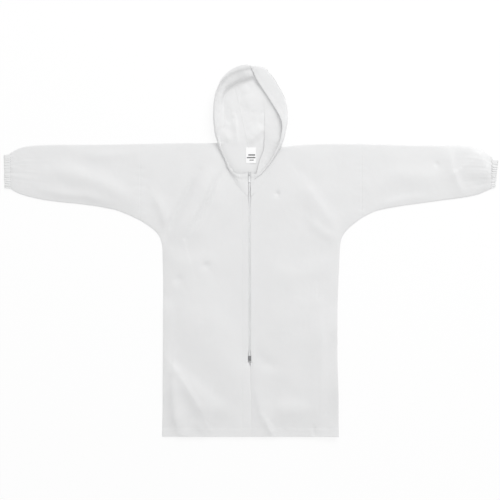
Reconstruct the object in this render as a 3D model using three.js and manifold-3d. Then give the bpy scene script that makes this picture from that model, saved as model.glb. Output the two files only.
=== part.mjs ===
// A hooded raincoat of thin white sheet cloth, zipped up and laid flat on its back with the sleeves
// straight out. Millimetres. +X is the wearer's left, +Y runs from the hem to the hood, and +Z is up from
// the surface it lies on. The origin is on that surface, at the middle of the coat's outline.
// The body is cut with short sleeves in one, and a straight tube lengthens each to an elastic cuff. The
// hood has two halves, joined along its crown and back, and the zip runs up through its chin.
import * as THREE from "three";
import { mergeVertices } from "three/addons/utils/BufferGeometryUtils.js";
import Module from "manifold-3d";

const wasm = await Module();
wasm.setup();

// Driving dimensions
const CLOTH = 1.5; // wall of every cloth panel
const SEAM = 0.3; // gap between pieces that are sewn together
const HEM_Y = -634; // lower edge of the body
const SLEEVE_SEAM_X = 376; // where the body's short sleeve ends and the tube begins
const CUFF_X = 815; // where the tube ends and the elastic cuff begins
const LOFT = 2.6; // how far the front stands off the back, away from the seams
const LOFT_REACH = 30; // how far in from a seam it takes to rise
const ZIP_X = -5; // the zip's centre line
const ZIP_TOP_Y = 266;
const ZIP_BOTTOM_Y = -376;
const FRONT_EDGE = 4; // from the zip's centre line to the cloth beside it
const CHIN_EDGE = 5.9; // the same above the neck seam, where the slider stands
const BOX_EDGE = 6.4; // the same beside the zip's bottom box
const TAPE = { width: 12, thick: 0.8 };
const CHAIN = { width: 5.2, height: 2 }; // the closed coil
const SLIDER = { width: 9, length: 13, plate: 1.1, foot: 250 };
const BRIDGE = { width: 2, from: 1.6, to: 9.4, leg: 1.2, clear: 2.2, bar: 1 };
const PULL = { width: 7, length: 26, thick: 1, eye: 3.2, reach: 4.6, back: 1, tip: 2.2 };
const BOX = { width: 10.4, length: 16, above: 0.8 };
const STOP = { width: 1.8, length: 2.2, height: 1.6 };
const LABEL = { x: 0, top: 349, width: 35, length: 54, thick: 1 };

// The side seam and underarm from the hem up, on the wearer's right and left.
const SIDE_RIGHT = [
  { x: -302, y: HEM_Y },
  { x: -300, y: -508 },
  { x: -299, y: -330 },
  { x: -298, y: -168 },
  { x: -300, y: -30 },
  { x: -303, y: 22 },
  { x: -315, y: 52 },
  { x: -336, y: 73 },
  { x: -SLEEVE_SEAM_X, y: 100 },
];
const SIDE_LEFT = [
  { x: 298, y: HEM_Y },
  { x: 297, y: -508 },
  { x: 293, y: -330 },
  { x: 295, y: -168 },
  { x: 301, y: -30 },
  { x: 304, y: 22 },
  { x: 312, y: 49 },
  { x: 332, y: 74 },
  { x: SLEEVE_SEAM_X, y: 109 },
];

// The shoulder line, from beside the neck out.
const SHOULDER_RIGHT = [
  { x: -240, y: 364 },
  { x: -SLEEVE_SEAM_X, y: 361 },
];
const SHOULDER_LEFT = [
  { x: 150, y: 356 },
  { x: 240, y: 361 },
  { x: SLEEVE_SEAM_X, y: 361 },
];

// The sleeve tubes and cuffs: their upper and lower edges by distance out from the middle.
const SLEEVE_RIGHT = [
  { out: SLEEVE_SEAM_X + SEAM, top: 361, bottom: 100 },
  { out: 418, top: 360, bottom: 120 },
  { out: 460, top: 359, bottom: 136 },
  { out: 520, top: 358, bottom: 148 },
  { out: 580, top: 358, bottom: 156 },
  { out: 645, top: 358, bottom: 162 },
  { out: 700, top: 357, bottom: 169 },
  { out: 740, top: 355, bottom: 177 },
  { out: 770, top: 351, bottom: 185 },
  { out: 790, top: 345, bottom: 192 },
  { out: 806, top: 337, bottom: 200 },
  { out: CUFF_X, top: 331, bottom: 206 },
];
const SLEEVE_LEFT = [
  { out: SLEEVE_SEAM_X + SEAM, top: 361, bottom: 109 },
  { out: 418, top: 360, bottom: 131 },
  { out: 460, top: 359, bottom: 141 },
  { out: 520, top: 356, bottom: 151 },
  { out: 580, top: 355, bottom: 159 },
  { out: 645, top: 355, bottom: 168 },
  { out: 700, top: 356, bottom: 175 },
  { out: 740, top: 354, bottom: 181 },
  { out: 770, top: 347, bottom: 188 },
  { out: 790, top: 337, bottom: 196 },
  { out: 806, top: 326, bottom: 203 },
  { out: CUFF_X, top: 318, bottom: 207 },
];
const CUFF_RIGHT = [
  { out: CUFF_X + SEAM, top: 326, bottom: 208 },
  { out: 827, top: 323, bottom: 207.5 },
  { out: 839.5, top: 321, bottom: 208 },
];
const CUFF_LEFT = [
  { out: CUFF_X + SEAM, top: 307, bottom: 209 },
  { out: 827, top: 303, bottom: 210 },
  { out: 839.5, top: 298, bottom: 212 },
];
const CUFF_LOFT = 3.4;
const GATHER = { count: 7, height: 0.6 }; // soft ridges across a cuff

// The largest folds of the fronts and sleeves: a ridge of this height from one end to the other.
const FOLDS = [
  { name: "underarm to shoulder", x1: -268, y1: 25, x2: -162, y2: 266, width: 38, height: 7 },
  { name: "chest to neck", x1: -200, y1: 42, x2: -92, y2: 262, width: 24, height: 6 },
  { name: "left chest", x1: 60, y1: 120, x2: 190, y2: 250, width: 50, height: 4 },
  { name: "left underarm", x1: 292, y1: 60, x2: 210, y2: 190, width: 34, height: 5 },
  { name: "right hip", x1: -120, y1: -130, x2: -90, y2: -420, width: 90, height: 8 },
  { name: "right side", x1: -272, y1: -360, x2: -190, y2: -540, width: 34, height: 6 },
  { name: "left hip", x1: 140, y1: -120, x2: 120, y2: -440, width: 95, height: 8 },
  { name: "left side", x1: 276, y1: -210, x2: 284, y2: -590, width: 20, height: 5 },
  { name: "left hem", x1: 45, y1: -540, x2: 76, y2: -632, width: 22, height: 5 },
  { name: "right sleeve", x1: -430, y1: 190, x2: -640, y2: 270, width: 40, height: 5 },
  { name: "right cuff", x1: -690, y1: 230, x2: -800, y2: 262, width: 22, height: 4 },
  { name: "left sleeve", x1: 420, y1: 260, x2: 640, y2: 235, width: 45, height: 4 },
  { name: "left cuff", x1: 700, y1: 290, x2: 800, y2: 262, width: 24, height: 4 },
];

// The hood's sections, round the face opening from the zip up the wearer's right, over the crown and down
// the left. Each runs from the neck seam at neckX, neckY to the face edge at x, y. The neck seam lies on the
// fronts where front is 1 and on the surface where it is 0. rise is the face edge's height, lean is how far
// the widest point lies outside it in plan, and foot is how far in from there the cloth meets the surface.
const HOOD = [
  { neckX: ZIP_X - CHIN_EDGE, neckY: 182, front: 1, x: ZIP_X - CHIN_EDGE, y: 260, rise: 7, lean: 0, foot: 0 },
  { neckX: -30, neckY: 200, front: 1, x: -46, y: 259, rise: 12, lean: 0, foot: 0 },
  { neckX: -58, neckY: 236, front: 1, x: -62, y: 283, rise: 17, lean: 3, foot: 0 },
  { neckX: -84, neckY: 296, front: 1, x: -80, y: 318, rise: 23, lean: 5, foot: 0 },
  { neckX: -104, neckY: 364, front: 1, x: -95, y: 368, rise: 30, lean: 8, foot: 8 },
  { neckX: -84, neckY: 357, front: 0, x: -103, y: 434, rise: 37, lean: 20, foot: 14 },
  { neckX: -56, neckY: 351, front: 0, x: -109, y: 498, rise: 40, lean: 14, foot: 18 },
  { neckX: -32, neckY: 351, front: 0, x: -101, y: 566, rise: 41, lean: 5, foot: 26 },
  { neckX: -8, neckY: 351, front: 0, x: -70, y: 612, rise: 40, lean: 2, foot: 36 },
  { neckX: 6, neckY: 351, front: 0, x: -22, y: 630, rise: 37, lean: 2, foot: 46 },
  { neckX: 20, neckY: 351, front: 0, x: 2, y: 620, rise: 33, lean: 11, foot: 52 },
  { neckX: 36, neckY: 351, front: 0, x: 33, y: 570, rise: 27, lean: 44, foot: 70 },
  { neckX: 56, neckY: 351, front: 0, x: 74, y: 496, rise: 25, lean: 42, foot: 66 },
  { neckX: 82, neckY: 351, front: 0, x: 105, y: 436, rise: 27, lean: 19, foot: 40 },
  { neckX: 108, neckY: 350, front: 1, x: 102, y: 376, rise: 25, lean: 9, foot: 12 },
  { neckX: 94, neckY: 328, front: 1, x: 82, y: 328, rise: 20, lean: 4, foot: 0 },
  { neckX: 68, neckY: 278, front: 1, x: 60, y: 293, rise: 15, lean: 3, foot: 0 },
  { neckX: 36, neckY: 218, front: 1, x: 30, y: 261, rise: 11, lean: 0, foot: 0 },
  { neckX: ZIP_X + CHIN_EDGE, neckY: 182, front: 1, x: ZIP_X + CHIN_EDGE, y: 260, rise: 7, lean: 0, foot: 0 },
];
const NECK_CORNER = { right: 4, left: 14 }; // the sections at the ends of the shoulder lines
const CROWN = 8; // the section along the seam between the two halves
const CROWN_GAP = 0.008; // half the gap at that seam, as a share of the way to the next section
const HOOD_MIDDLE = new THREE.Vector2(-4, 440);
const HOOD_STEPS = 3; // rows of points from one section to the next
const HOOD_ACROSS = 10; // from neck to face edge
const HOOD_CREASE = 3; // the point across where the cloth turns up from the ground
const CREASE_GAP = 0.006; // half the gap there, as a share of the way to the next point
const WIDEST = 0.42; // the widest point's height, as a share of the rise

// Materials
const cloth = { color: 0xe9eaeb, roughness: 0.6, metalness: 0 };
const tapeCloth = { color: 0xe2e3e4, roughness: 0.7, metalness: 0 };
const coil = { color: 0xd6d7d8, roughness: 0.4, metalness: 0 };
const enamel = { color: 0xc9caca, roughness: 0.3, metalness: 0.3 };
const darkMetal = { color: 0x6d6e70, roughness: 0.35, metalness: 0.9 };
const satin = { color: 0xf4f4f4, roughness: 0.45, metalness: 0 };

// Heights that the rest is worked out from
const BACK_TOP = CLOTH + SEAM; // lowest that the front cloth lies
const ZIP_Z = BACK_TOP + LOFT - SEAM - TAPE.thick; // underside of tape and coil
const ZIP_TOP_Z = ZIP_Z + CHAIN.height;

const raincoat = new THREE.Group();
raincoat.name = "raincoat";

function add(name, geometry, finish) {
  const mesh = new THREE.Mesh(geometry, new THREE.MeshStandardMaterial(finish));
  mesh.name = name;
  raincoat.add(mesh);
}

function mix(a, b, t) {
  return a + (b - a) * t;
}

function smooth(rows) {
  const points = rows.map((row) => new THREE.Vector3(row.x, row.y, row.z ?? 0));
  return new THREE.CatmullRomCurve3(points, false, "centripetal");
}

// The rows of a table with points between them, no further apart than step.
function along(rows, step) {
  const points = [];
  for (let i = 1; i < rows.length; i++) {
    const [p, q] = [rows[i - 1], rows[i]];
    const count = Math.ceil(Math.hypot(q.x - p.x, q.y - p.y) / step);
    for (let k = 0; k < count; k++)
      points.push({ x: mix(p.x, q.x, k / count), y: mix(p.y, q.y, k / count) });
  }
  return [...points, rows[rows.length - 1]];
}

// A wall between two grids of points of the same size, closed at its edges. A round one joins its last
// column to its first and stays open through the middle.
function wall(inside, outside, round = false) {
  const rows = inside.length;
  const columns = inside[0].length;
  const at = (side, r, c) => (side * rows + r) * columns + (c % columns);
  const faces = [];
  const quad = (p, q, r, s) => faces.push(p, q, r, p, r, s);
  const cells = round ? columns : columns - 1;
  for (let c = 0; c < cells; c++) {
    for (let r = 0; r + 1 < rows; r++) {
      quad(at(0, r, c), at(0, r, c + 1), at(0, r + 1, c + 1), at(0, r + 1, c));
      quad(at(1, r, c), at(1, r + 1, c), at(1, r + 1, c + 1), at(1, r, c + 1));
    }
    quad(at(0, 0, c), at(1, 0, c), at(1, 0, c + 1), at(0, 0, c + 1));
    quad(at(0, rows - 1, c), at(0, rows - 1, c + 1), at(1, rows - 1, c + 1), at(1, rows - 1, c));
  }
  for (let r = 0; r + 1 < rows && !round; r++) {
    quad(at(0, r, 0), at(0, r + 1, 0), at(1, r + 1, 0), at(1, r, 0));
    quad(at(0, r, cells), at(1, r, cells), at(1, r + 1, cells), at(0, r + 1, cells));
  }
  return facingOut([...inside.flat(), ...outside.flat()], faces);
}

// A geometry from points and faces, turned about if its faces point in.
function facingOut(points, faces) {
  let volume = 0;
  const across = new THREE.Vector3();
  for (let i = 0; i < faces.length; i += 3)
    volume += points[faces[i]].dot(across.crossVectors(points[faces[i + 1]], points[faces[i + 2]]));
  const geometry = new THREE.BufferGeometry().setFromPoints(points);
  geometry.setIndex(volume < 0 ? faces.reverse() : faces);
  return geometry;
}

function toSolid(geometry) {
  const bare = geometry.clone();
  bare.deleteAttribute("normal");
  bare.deleteAttribute("uv");
  const merged = mergeVertices(bare);
  const vertProperties = merged.getAttribute("position").array;
  const triVerts = Uint32Array.from(merged.getIndex().array);
  return new wasm.Manifold(new wasm.Mesh({ numProp: 3, vertProperties, triVerts }));
}

// Geometries joined into one solid.
function joined(...geometries) {
  const whole = geometries.map(toSolid).reduce((sum, next) => sum.add(next));
  const { vertProperties, triVerts } = whole.getMesh();
  const geometry = new THREE.BufferGeometry();
  geometry.setAttribute("position", new THREE.BufferAttribute(vertProperties, 3));
  geometry.setIndex(Array.from(triVerts));
  return geometry;
}

// A block by its middle and width in x and its ends in y and z.
function block(x, width, y0, y1, z0, z1) {
  return new THREE.BoxGeometry(width, y1 - y0, z1 - z0).translate(x, (y0 + y1) / 2, (z0 + z1) / 2);
}

// Least distance from a point to the line through the rows of a table.
function distanceTo(rows, x, y) {
  let least = Infinity;
  for (let i = 1; i < rows.length; i++) {
    const [p, q] = [rows[i - 1], rows[i]];
    const [dx, dy] = [q.x - p.x, q.y - p.y];
    const t = Math.min(1, Math.max(0, ((x - p.x) * dx + (y - p.y) * dy) / (dx * dx + dy * dy)));
    least = Math.min(least, Math.hypot(x - p.x - t * dx, y - p.y - t * dy));
  }
  return least;
}

// Height of the folds at a point: each has a rounded section and fades out past its ends.
function folds(x, y) {
  let height = 0;
  for (const f of FOLDS) {
    const [dx, dy] = [f.x2 - f.x1, f.y2 - f.y1];
    const long = Math.hypot(dx, dy);
    const reach = ((x - f.x1) * dx + (y - f.y1) * dy) / long;
    const off = ((x - f.x1) * dy - (y - f.y1) * dx) / long / f.width;
    const past = Math.max(0, -reach, reach - long) / f.width;
    height += f.height * Math.exp(-off * off - past * past);
  }
  return height;
}

function rise(distance) {
  return 1 - Math.exp(-distance / LOFT_REACH);
}

const neckPoint = ({ neckX, neckY }) => ({ x: neckX, y: neckY });
const NECK_RIGHT = HOOD.slice(0, NECK_CORNER.right + 1).map(neckPoint);
const NECK_LEFT = HOOD.slice(NECK_CORNER.left).map(neckPoint);

// Underside of the front cloth: down on the back at the seams, lifted inside, and level at the zip and neck.
function frontHeight(x, y) {
  const right = x < ZIP_X;
  const fromSide = distanceTo(right ? SIDE_RIGHT : SIDE_LEFT, x, y);
  const shoulder = right
    ? [NECK_RIGHT[NECK_CORNER.right], ...SHOULDER_RIGHT]
    : [NECK_LEFT[0], ...SHOULDER_LEFT];
  const edge = rise(Math.min(fromSide, distanceTo(shoulder, x, y)));
  const fromZip = Math.max(0, Math.abs(x - ZIP_X) - CHAIN.width - TAPE.width);
  const fromNeck = distanceTo(right ? NECK_RIGHT : NECK_LEFT, x, y);
  return BACK_TOP + LOFT * edge + folds(x, y) * edge * rise(fromZip) * rise(fromNeck);
}

// Hood: its sections as curves, and the points of its outer face at any place between them.
const outward = HOOD.map(({ x, y }) => new THREE.Vector2(x, y).sub(HOOD_MIDDLE).normalize());
const hoodSections = HOOD.map((s, i) => {
  const neckZ = s.front * (frontHeight(s.neckX, s.neckY) + CLOTH);
  const neck = new THREE.Vector3(s.neckX, s.neckY, neckZ);
  const face = new THREE.Vector3(s.x, s.y, s.rise);
  const widest = new THREE.Vector3(s.x, s.y, mix(neckZ, s.rise, WIDEST));
  widest.x = mix(widest.x, s.neckX, s.front / 2) + outward[i].x * s.lean;
  widest.y = mix(widest.y, s.neckY, s.front / 2) + outward[i].y * s.lean;
  const ground = new THREE.Vector3(widest.x - outward[i].x * s.foot, widest.y - outward[i].y * s.foot, 0);
  const foot = ground.lerp(neck.clone().lerp(widest, 0.5), s.front);
  return new THREE.CatmullRomCurve3([neck, foot, widest, face], false, "centripetal");
});
const hoodLines = new Map();
function hoodPoint(place, c) {
  if (!hoodLines.has(c)) {
    const points = hoodSections.map((section) => section.getPoint(c / HOOD_ACROSS));
    hoodLines.set(c, new THREE.CatmullRomCurve3(points, false, "centripetal"));
  }
  const point = hoodLines.get(c).getPoint(place / (HOOD.length - 1));
  point.z = Math.max(0, point.z);
  return point;
}

// One half of the hood between two places, each a section's number. It is made as two walls that meet at
// the crease, one on the ground and one standing up from it, so that collision stays open between them.
function hoodWall(from, to, across) {
  const count = Math.round((to - from) * HOOD_STEPS);
  const outside = Array.from({ length: count + 1 }, (_, r) =>
    across.map((c) => hoodPoint(mix(from, to, r / count), c)),
  );
  const inside = outside.map((row, r) =>
    row.map((point, k) => {
      const place = mix(from, to, r / count);
      const before = hoodPoint(mix(from, to, Math.max(r - 1, 0) / count), Math.round(across[k]));
      const after = hoodPoint(mix(from, to, Math.min(r + 1, count) / count), Math.round(across[k]));
      const lower = hoodPoint(place, Math.max(Math.round(across[k]) - 1, 0));
      const upper = hoodPoint(place, Math.min(Math.round(across[k]) + 1, HOOD_ACROSS));
      const inward = after.clone().sub(before).cross(upper.clone().sub(lower)).normalize();
      return point.clone().addScaledVector(inward, CLOTH);
    }),
  );
  return wall(inside, outside);
}
const steps = (first, last) => Array.from({ length: last - first + 1 }, (_, i) => first + i);
const onGround = [...steps(0, HOOD_CREASE - 1), HOOD_CREASE - CREASE_GAP];
const standing = [HOOD_CREASE + CREASE_GAP, ...steps(HOOD_CREASE + 1, HOOD_ACROSS)];
const halves = { right: [0, CROWN - CROWN_GAP], left: [CROWN + CROWN_GAP, HOOD.length - 1] };
for (const [side, [from, to]] of Object.entries(halves)) {
  add(`hood_${side}`, hoodWall(from, to, standing), cloth);
  add(`hood_back_${side}`, hoodWall(from, to, onGround), cloth);
}

// The neck seam's points on the side of the body, from one section of the hood to another.
function bodyNeck(from, to) {
  const corner = (place) => place <= NECK_CORNER.right || place >= NECK_CORNER.left;
  return Array.from({ length: (to - from) * HOOD_STEPS + 1 }, (_, i) => {
    const place = from + i / HOOD_STEPS;
    const { x, y } = hoodPoint(place, 0);
    return { x: corner(place) ? x + 2 * SEAM * Math.sign(x) : x, y: y - SEAM };
  });
}

// Back: one flat piece.
const SIDE_STEPS = 28;
const backOutline = [
  ...smooth(SIDE_RIGHT).getPoints(SIDE_STEPS),
  ...[...SHOULDER_RIGHT].reverse(),
  ...bodyNeck(NECK_CORNER.right, NECK_CORNER.left),
  ...SHOULDER_LEFT,
  ...smooth(SIDE_LEFT).getPoints(SIDE_STEPS).reverse(),
];
const backShape = new THREE.Shape(backOutline.map((p) => new THREE.Vector2(p.x, p.y)));
add("back", new THREE.ExtrudeGeometry(backShape, { depth: CLOTH, bevelEnabled: false }), cloth);

// A front: rows of points run from its zip edge, neck and shoulder to its side seam and underarm.
const FRONT_STEP = 42; // most between rows
const FRONT_ACROSS = 9;
const ZIP_SHARE = 0.8; // how far round the side the rows from the zip edge reach
const NECK_SHARE = 0.88; // and those from the neck
const EDGE_EASE = 20; // length over which the edge moves out to clear the box
const CHIN_EASE = 40; // and the slider
const BELOW_ZIP = { middle: ZIP_X + 4, gap: 2.4 }; // where the fronts' edges meet at the hem
function front(sign, side, neck, shoulder) {
  const edge = [
    { x: BELOW_ZIP.middle + (sign * BELOW_ZIP.gap) / 2, y: HEM_Y },
    { x: ZIP_X + sign * BELOW_ZIP.gap, y: ZIP_BOTTOM_Y - EDGE_EASE },
    { x: ZIP_X + sign * BOX_EDGE, y: ZIP_BOTTOM_Y - SEAM },
    { x: ZIP_X + sign * BOX_EDGE, y: ZIP_BOTTOM_Y + BOX.length + SEAM },
    { x: ZIP_X + sign * FRONT_EDGE, y: ZIP_BOTTOM_Y + BOX.length + EDGE_EASE },
    { x: ZIP_X + sign * FRONT_EDGE, y: neck[0].y - CHIN_EASE },
    neck[0],
  ];
  const stretches = [
    { points: along(edge, FRONT_STEP), from: 0, to: ZIP_SHARE },
    { points: neck, from: ZIP_SHARE, to: NECK_SHARE },
    { points: along([neck[neck.length - 1], ...shoulder], FRONT_STEP), from: NECK_SHARE, to: 1 },
  ];
  const sideCurve = smooth(side);
  const rows = stretches.flatMap(({ points, from, to }, k) =>
    points.map((p, i) => [p, sideCurve.getPointAt(mix(from, to, i / (points.length - 1)))]).slice(k ? 1 : 0),
  );
  const grid = (lift) =>
    rows.map(([p, q]) =>
      Array.from({ length: FRONT_ACROSS + 1 }, (_, i) => {
        const x = mix(p.x, q.x, i / FRONT_ACROSS);
        const y = mix(p.y, q.y, i / FRONT_ACROSS);
        return new THREE.Vector3(x, y, frontHeight(x, y) + lift);
      }),
    );
  return wall(grid(0), grid(CLOTH));
}
add("front_right", front(-1, SIDE_RIGHT, bodyNeck(0, NECK_CORNER.right), SHOULDER_RIGHT), cloth);
const neckLeft = bodyNeck(NECK_CORNER.left, HOOD.length - 1).reverse();
add("front_left", front(1, SIDE_LEFT, neckLeft, SHOULDER_LEFT), cloth);

// Sleeves and cuffs: a flattened tube along X, level below, lifted above, and folded at its two edges.
function flatTube(sign, sections, count, height) {
  const half = BACK_TOP / 2;
  const fold = (BACK_TOP + CLOTH) / 2; // height of the folded edges
  const loop = (s, inset) => {
    const x = sign * s.out;
    const ys = Array.from({ length: count + 1 }, (_, i) =>
      mix(s.bottom + inset + half, s.top - inset - half, i / count),
    );
    return [
      ...ys.map((y) => new THREE.Vector3(x, y, inset)),
      new THREE.Vector3(x, s.top - inset, fold),
      ...ys.reverse().map((y) => new THREE.Vector3(x, y, height(s, x, y) + CLOTH - inset)),
      new THREE.Vector3(x, s.bottom + inset, fold),
    ];
  };
  return wall(sections.map((s) => loop(s, CLOTH)), sections.map((s) => loop(s, 0)), true);
}
function sleeveHeight(s, x, y) {
  const edge = rise(Math.max(0, Math.min(s.top - y, y - s.bottom)));
  return BACK_TOP + (LOFT + folds(x, y)) * edge;
}
function cuffHeight(s, x, y) {
  const t = (y - s.bottom) / (s.top - s.bottom);
  const gathers = GATHER.height * Math.sin(2 * Math.PI * GATHER.count * t);
  return BACK_TOP + (CUFF_LOFT + gathers) * Math.sqrt(Math.sin(Math.PI * t));
}
const SLEEVE_ACROSS = 8;
const CUFF_ACROSS = 4 * GATHER.count;
add("sleeve_right", flatTube(-1, SLEEVE_RIGHT, SLEEVE_ACROSS, sleeveHeight), cloth);
add("sleeve_left", flatTube(1, SLEEVE_LEFT, SLEEVE_ACROSS, sleeveHeight), cloth);
add("cuff_right", flatTube(-1, CUFF_RIGHT, CUFF_ACROSS, cuffHeight), cloth);
add("cuff_left", flatTube(1, CUFF_LEFT, CUFF_ACROSS, cuffHeight), cloth);

// Zip: two tapes under the front edges, the closed coil, and the box that holds their lower ends.
const boxTop = ZIP_BOTTOM_Y + BOX.length;
for (const [side, sign] of [["right", -1], ["left", 1]]) {
  const inner = CHAIN.width / 2 + SEAM;
  const middle = ZIP_X + sign * (inner + TAPE.width / 2);
  const tape = block(middle, TAPE.width, boxTop + SEAM, ZIP_TOP_Y, ZIP_Z, ZIP_Z + TAPE.thick);
  add(`zip_tape_${side}`, tape, tapeCloth);
  const stopZ = ZIP_Z + TAPE.thick + SEAM;
  const stopX = ZIP_X + sign * (inner + STOP.width / 2);
  const stop = block(stopX, STOP.width, ZIP_TOP_Y - STOP.length, ZIP_TOP_Y, stopZ, stopZ + STOP.height);
  add(`zip_stop_${side}`, stop, enamel);
}
const chainTop = SLIDER.foot + SLIDER.length / 2;
add("zip_chain", block(ZIP_X, CHAIN.width, boxTop + SEAM, chainTop, ZIP_Z, ZIP_TOP_Z), coil);
add("zip_box", block(ZIP_X, BOX.width, ZIP_BOTTOM_Y, boxTop, ZIP_Z, ZIP_TOP_Z + BOX.above), darkMetal);

// Slider: two plates joined by a post above the coil's end, and a bridge over the top plate.
const sliderTop = ZIP_TOP_Z + SEAM + SLIDER.plate;
const sliderEnd = SLIDER.foot + SLIDER.length;
const bridgeTop = sliderTop + BRIDGE.clear + BRIDGE.bar;
function plate(z) {
  return block(ZIP_X, SLIDER.width, SLIDER.foot, sliderEnd, z, z + SLIDER.plate);
}
function leg(y) {
  return block(ZIP_X, BRIDGE.width, y, y + BRIDGE.leg, sliderTop - SLIDER.plate, bridgeTop);
}
const POST_BACK = 1; // from the post to the slider's upper end
const lowPlate = ZIP_Z - SEAM - SLIDER.plate;
const bridgeFrom = SLIDER.foot + BRIDGE.from;
const bridgeTo = SLIDER.foot + BRIDGE.to;
const slider = joined(
  plate(lowPlate),
  plate(sliderTop - SLIDER.plate),
  block(ZIP_X, BRIDGE.width, chainTop + SEAM, sliderEnd - POST_BACK, lowPlate, sliderTop),
  leg(bridgeFrom),
  leg(bridgeTo - BRIDGE.leg),
  block(ZIP_X, BRIDGE.width, bridgeFrom, bridgeTo, bridgeTop - BRIDGE.bar, bridgeTop),
);
add("zip_slider", slider, enamel);

// Pull tab: a flat tab whose eye goes round the bridge. It turns on the middle of the eye's back, under the
// bridge.
const axleY = (bridgeFrom + bridgeTo) / 2;
const axleZ = sliderTop + BRIDGE.clear / 2;
const pullShape = new THREE.Shape();
const pullHalf = PULL.width / 2;
pullShape.moveTo(-pullHalf, PULL.back / 2);
pullShape.lineTo(-pullHalf, PULL.tip - PULL.length);
pullShape.quadraticCurveTo(-pullHalf, -PULL.length, PULL.tip - pullHalf, -PULL.length);
pullShape.lineTo(pullHalf - PULL.tip, -PULL.length);
pullShape.quadraticCurveTo(pullHalf, -PULL.length, pullHalf, PULL.tip - PULL.length);
pullShape.lineTo(pullHalf, PULL.back / 2);
const eye = new THREE.Path();
eye.moveTo(-PULL.eye / 2, -PULL.back / 2);
eye.lineTo(PULL.eye / 2, -PULL.back / 2);
eye.lineTo(PULL.eye / 2, -PULL.back / 2 - PULL.reach);
eye.lineTo(-PULL.eye / 2, -PULL.back / 2 - PULL.reach);
pullShape.holes.push(eye);
const pullOptions = { depth: PULL.thick, bevelEnabled: false, curveSegments: 4 };
const pull = new THREE.ExtrudeGeometry(pullShape, pullOptions);
add("pull_tab", pull.translate(ZIP_X, axleY, axleZ - PULL.thick / 2), enamel);

// Neck label, on the inside of the back below the neck seam
const labelFoot = LABEL.top - LABEL.length;
add("neck_label", block(LABEL.x, LABEL.width, labelFoot, LABEL.top, BACK_TOP, BACK_TOP + LABEL.thick), satin);

export default raincoat;
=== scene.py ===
import math

import bmesh
import bpy
import numpy as np
from mathutils import Matrix, Vector, noise


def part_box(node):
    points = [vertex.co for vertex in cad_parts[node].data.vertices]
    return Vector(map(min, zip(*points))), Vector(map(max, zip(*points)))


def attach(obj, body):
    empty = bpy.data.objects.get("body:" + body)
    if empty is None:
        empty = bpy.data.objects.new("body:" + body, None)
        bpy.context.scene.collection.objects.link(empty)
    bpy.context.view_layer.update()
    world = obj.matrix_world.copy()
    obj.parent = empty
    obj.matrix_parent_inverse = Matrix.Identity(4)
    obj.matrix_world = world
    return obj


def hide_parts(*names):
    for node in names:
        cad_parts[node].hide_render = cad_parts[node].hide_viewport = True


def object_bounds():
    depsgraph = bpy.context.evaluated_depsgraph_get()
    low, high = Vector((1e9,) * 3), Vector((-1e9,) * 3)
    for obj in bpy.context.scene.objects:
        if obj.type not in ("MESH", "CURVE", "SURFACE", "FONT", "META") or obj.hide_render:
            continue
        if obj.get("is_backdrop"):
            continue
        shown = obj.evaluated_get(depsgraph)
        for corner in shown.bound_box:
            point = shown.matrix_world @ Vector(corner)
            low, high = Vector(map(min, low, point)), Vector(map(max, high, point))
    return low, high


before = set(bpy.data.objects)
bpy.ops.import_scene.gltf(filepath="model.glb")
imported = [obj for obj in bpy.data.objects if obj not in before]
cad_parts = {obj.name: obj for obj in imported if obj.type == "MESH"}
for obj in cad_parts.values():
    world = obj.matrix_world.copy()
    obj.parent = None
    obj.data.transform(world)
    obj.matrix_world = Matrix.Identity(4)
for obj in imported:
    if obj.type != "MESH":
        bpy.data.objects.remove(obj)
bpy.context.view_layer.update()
MM = 0.001

# Camera and studio
# The coat lies on a pale floor and is seen from straight above, with its hood away from the viewer. Light
# comes evenly from all round, and a soft lamp beyond the hood, towards the wearer's left, rakes across the
# cloth.
LENS = 85
SENSOR = 36
VIEW_WIDTH = 1.7  # how much of the floor the frame takes in
VIEW_X = -3.4 * MM  # the frame's middle
camera = bpy.data.objects.new("camera", bpy.data.cameras.new("camera"))
camera.data.lens = LENS
camera.data.sensor_width = SENSOR
camera.data.clip_end = 50
camera.location = (VIEW_X, 0, VIEW_WIDTH * LENS / SENSOR)
bpy.context.scene.collection.objects.link(camera)
bpy.context.scene.camera = camera
bpy.context.scene.view_settings.view_transform = "Standard"

FLOOR_SIZE = 20
FLOOR_DROP = 0.3 * MM  # below the coat
FLOOR_GLOW = 0.79
bm = bmesh.new()
bmesh.ops.create_grid(bm, x_segments=1, y_segments=1, size=FLOOR_SIZE / 2)
bmesh.ops.translate(bm, verts=bm.verts, vec=(0, 0, -FLOOR_DROP))
floor_mesh = bpy.data.meshes.new("floor")
bm.to_mesh(floor_mesh)
bm.free()
floor = bpy.data.objects.new("floor", floor_mesh)
bpy.context.scene.collection.objects.link(floor)
floor_material = bpy.data.materials.new("floor_paper")
floor_material.use_nodes = True
paper = floor_material.node_tree.nodes["Principled BSDF"]
paper.inputs["Base Color"].default_value = (0.2, 0.2, 0.2, 1)
paper.inputs["Roughness"].default_value = 0.9
paper.inputs["Specular IOR Level"].default_value = 0.1
paper.inputs["Emission Color"].default_value = (1, 1, 1, 1)
paper.inputs["Emission Strength"].default_value = FLOOR_GLOW
floor_mesh.materials.append(floor_material)
floor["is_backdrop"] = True

ROOM_LIGHT = 0.79
world = bpy.data.worlds.new("studio")
world.use_nodes = True
world.node_tree.nodes["Background"].inputs["Color"].default_value = (1, 1, 1, 1)
world.node_tree.nodes["Background"].inputs["Strength"].default_value = ROOM_LIGHT
bpy.context.scene.world = world

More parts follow.
